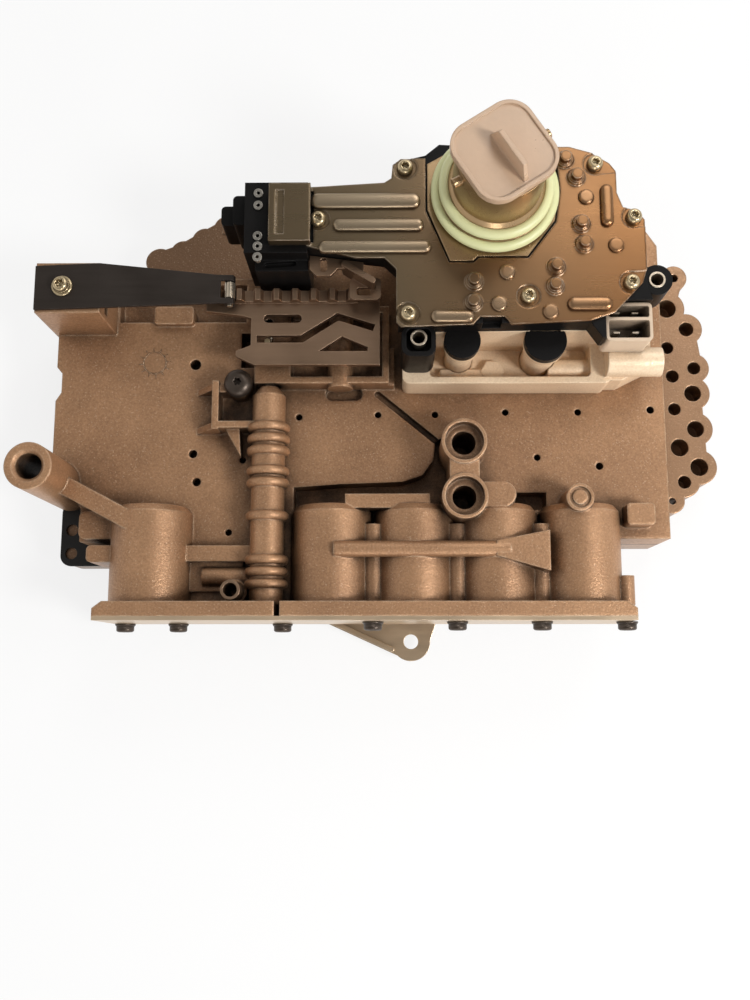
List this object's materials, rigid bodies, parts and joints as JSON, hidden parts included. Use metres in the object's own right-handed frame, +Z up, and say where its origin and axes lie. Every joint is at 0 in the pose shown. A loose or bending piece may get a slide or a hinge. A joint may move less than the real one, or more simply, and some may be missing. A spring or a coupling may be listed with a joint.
{
  "type": "transmission valve body",
  "caption": "Hydraulic control casting with ribbed spool bore, accumulator row, sliding gear selector, spring detent and bolted solenoid pack with capped round connector.",
  "frame": {"origin": "on the underside of the transfer plate, near the middle of the casting", "axes": "+X right along the accumulator row, +Y to the connector side, +Z up out of the deck"},
  "size_m": [0.3155, 0.2218, 0.1322],
  "materials": {
    "cast_alloy": "sand-textured die cast, warm oil tint",
    "plate_alloy": "machined die cast, copper-toned",
    "coated_steel": "black coated sheet",
    "dark_screw": "black oxide",
    "bright_steel": "ground and turned",
    "spring_steel": "drawn wire",
    "leaf_steel": "dark tempered strip",
    "selector_steel": "stamped, brown oil film",
    "cover_steel": "rolled sheet, warm tint",
    "zinc_screw": "yellow zinc",
    "housing_alloy": "pale die cast",
    "black_plastic": "glass-filled, satin",
    "frame_plastic": "natural nylon",
    "connector_plastic": "dark satin",
    "cap_plastic": "milky polyethylene",
    "green_rubber": "pale green elastomer",
    "black_rubber": "black elastomer",
    "pin_brass": "plated"
  },
  "bodies": {
    "base": {"transfer_plate": "plate_alloy", "separator_plate": "coated_steel", "valve_body": "cast_alloy", "check_balls": "bright_steel", "plate_screws": "zinc_screw", "accumulator_cover": "cover_steel", "cover_screws": "dark_screw", "switch_valve_spring": "spring_steel", "reverse_valve_spring": "spring_steel", "bore_plug": "bright_steel", "detent_spring": "leaf_steel", "roller_pin": "bright_steel", "detent_screw": "zinc_screw", "guide_screw": "dark_screw", "alignment_sleeve": "selector_steel", "support_bracket": "cover_steel", "bracket_screws": "dark_screw", "solenoid_housing": "housing_alloy", "solenoid_cans": "bright_steel", "can_collars": "black_plastic", "solenoid_carrier": "black_plastic", "pack_bushings": "bright_steel", "solenoid_cover": "cover_steel", "pack_screws": "zinc_screw", "range_sensor": "black_plastic", "sensor_eyelets": "bright_steel", "guide_bracket": "selector_steel", "terminal_frame": "frame_plastic", "terminal_blades": "bright_steel", "connector_shell": "connector_plastic", "connector_pins": "pin_brass", "lower_seal": "green_rubber", "upper_seal": "green_rubber", "accumulator_spring_1": "spring_steel", "accumulator_spring_2": "spring_steel", "accumulator_spring_3": "spring_steel", "accumulator_spring_4": "spring_steel", "accumulator_spring_5": "spring_steel"},
    "selector": {"selector_plate": "selector_steel"},
    "manual_spool": {"manual_valve": "bright_steel", "link_pin": "zinc_screw"},
    "roller": {"detent_roller": "bright_steel"},
    "cap": {"dust_cap": "cap_plastic"},
    "switch_spool": {"switch_valve": "bright_steel"},
    "reverse_spool": {"reverse_valve": "bright_steel"},
    "piston_1": {"accumulator_piston_1": "bright_steel", "piston_seal_1": "black_rubber"},
    "piston_2": {"accumulator_piston_2": "bright_steel", "piston_seal_2": "black_rubber"},
    "piston_3": {"accumulator_piston_3": "bright_steel", "piston_seal_3": "black_rubber"},
    "piston_4": {"accumulator_piston_4": "bright_steel", "piston_seal_4": "black_rubber"},
    "piston_5": {"accumulator_piston_5": "bright_steel", "piston_seal_5": "black_rubber"}
  },
  "joints": [
    {"name": "accumulator_1", "type": "slide", "parent": "base", "child": "piston_1", "axis": [0, -1, 0], "range_m": [0, 0.014], "stiffness_N_per_m": 3000, "springref_m": -0.005, "deforming": ["accumulator_spring_1"]},
    {"name": "accumulator_2", "type": "slide", "parent": "base", "child": "piston_2", "axis": [0, -1, 0], "range_m": [0, 0.014], "stiffness_N_per_m": 3000, "springref_m": -0.005, "deforming": ["accumulator_spring_2"]},
    {"name": "accumulator_3", "type": "slide", "parent": "base", "child": "piston_3", "axis": [0, -1, 0], "range_m": [0, 0.014], "stiffness_N_per_m": 3000, "springref_m": -0.005, "deforming": ["accumulator_spring_3"]},
    {"name": "accumulator_4", "type": "slide", "parent": "base", "child": "piston_4", "axis": [0, -1, 0], "range_m": [0, 0.014], "stiffness_N_per_m": 3000, "springref_m": -0.005, "deforming": ["accumulator_spring_4"]},
    {"name": "accumulator_5", "type": "slide", "parent": "base", "child": "piston_5", "axis": [0, -1, 0], "range_m": [0, 0.014], "stiffness_N_per_m": 3000, "springref_m": -0.005, "deforming": ["accumulator_spring_5"]},
    {"name": "switch_valve_slide", "type": "slide", "parent": "base", "child": "switch_spool", "axis": [0, -1, 0], "range_m": [0, 0.006], "stiffness_N_per_m": 800, "springref_m": -0.003, "deforming": ["switch_valve_spring"]},
    {"name": "reverse_valve_slide", "type": "slide", "parent": "base", "child": "reverse_spool", "axis": [0, -1, 0], "range_m": [0, 0.005], "stiffness_N_per_m": 800, "springref_m": -0.003, "deforming": ["reverse_valve_spring", "switch_valve_spring"]},
    {"name": "selector_slide", "type": "slide", "parent": "base", "child": "selector", "axis": [1, 0, 0], "range_m": [-0.0492, 0], "deforming": ["detent_spring"]},
    {"name": "manual_valve_slide", "type": "slide", "parent": "base", "child": "manual_spool", "axis": [0, 1, 0], "range_m": [0, 0.0102]},
    {"name": "roller_spin", "type": "hinge", "parent": "base", "child": "roller", "pos_m": [-0.06, 0.057, 0.06465], "axis": [0, 1, 0], "continuous": true},
    {"name": "cap_pull", "type": "slide", "parent": "base", "child": "cap", "axis": [0, 0, 1], "range_m": [0, 0.03]}
  ]
}
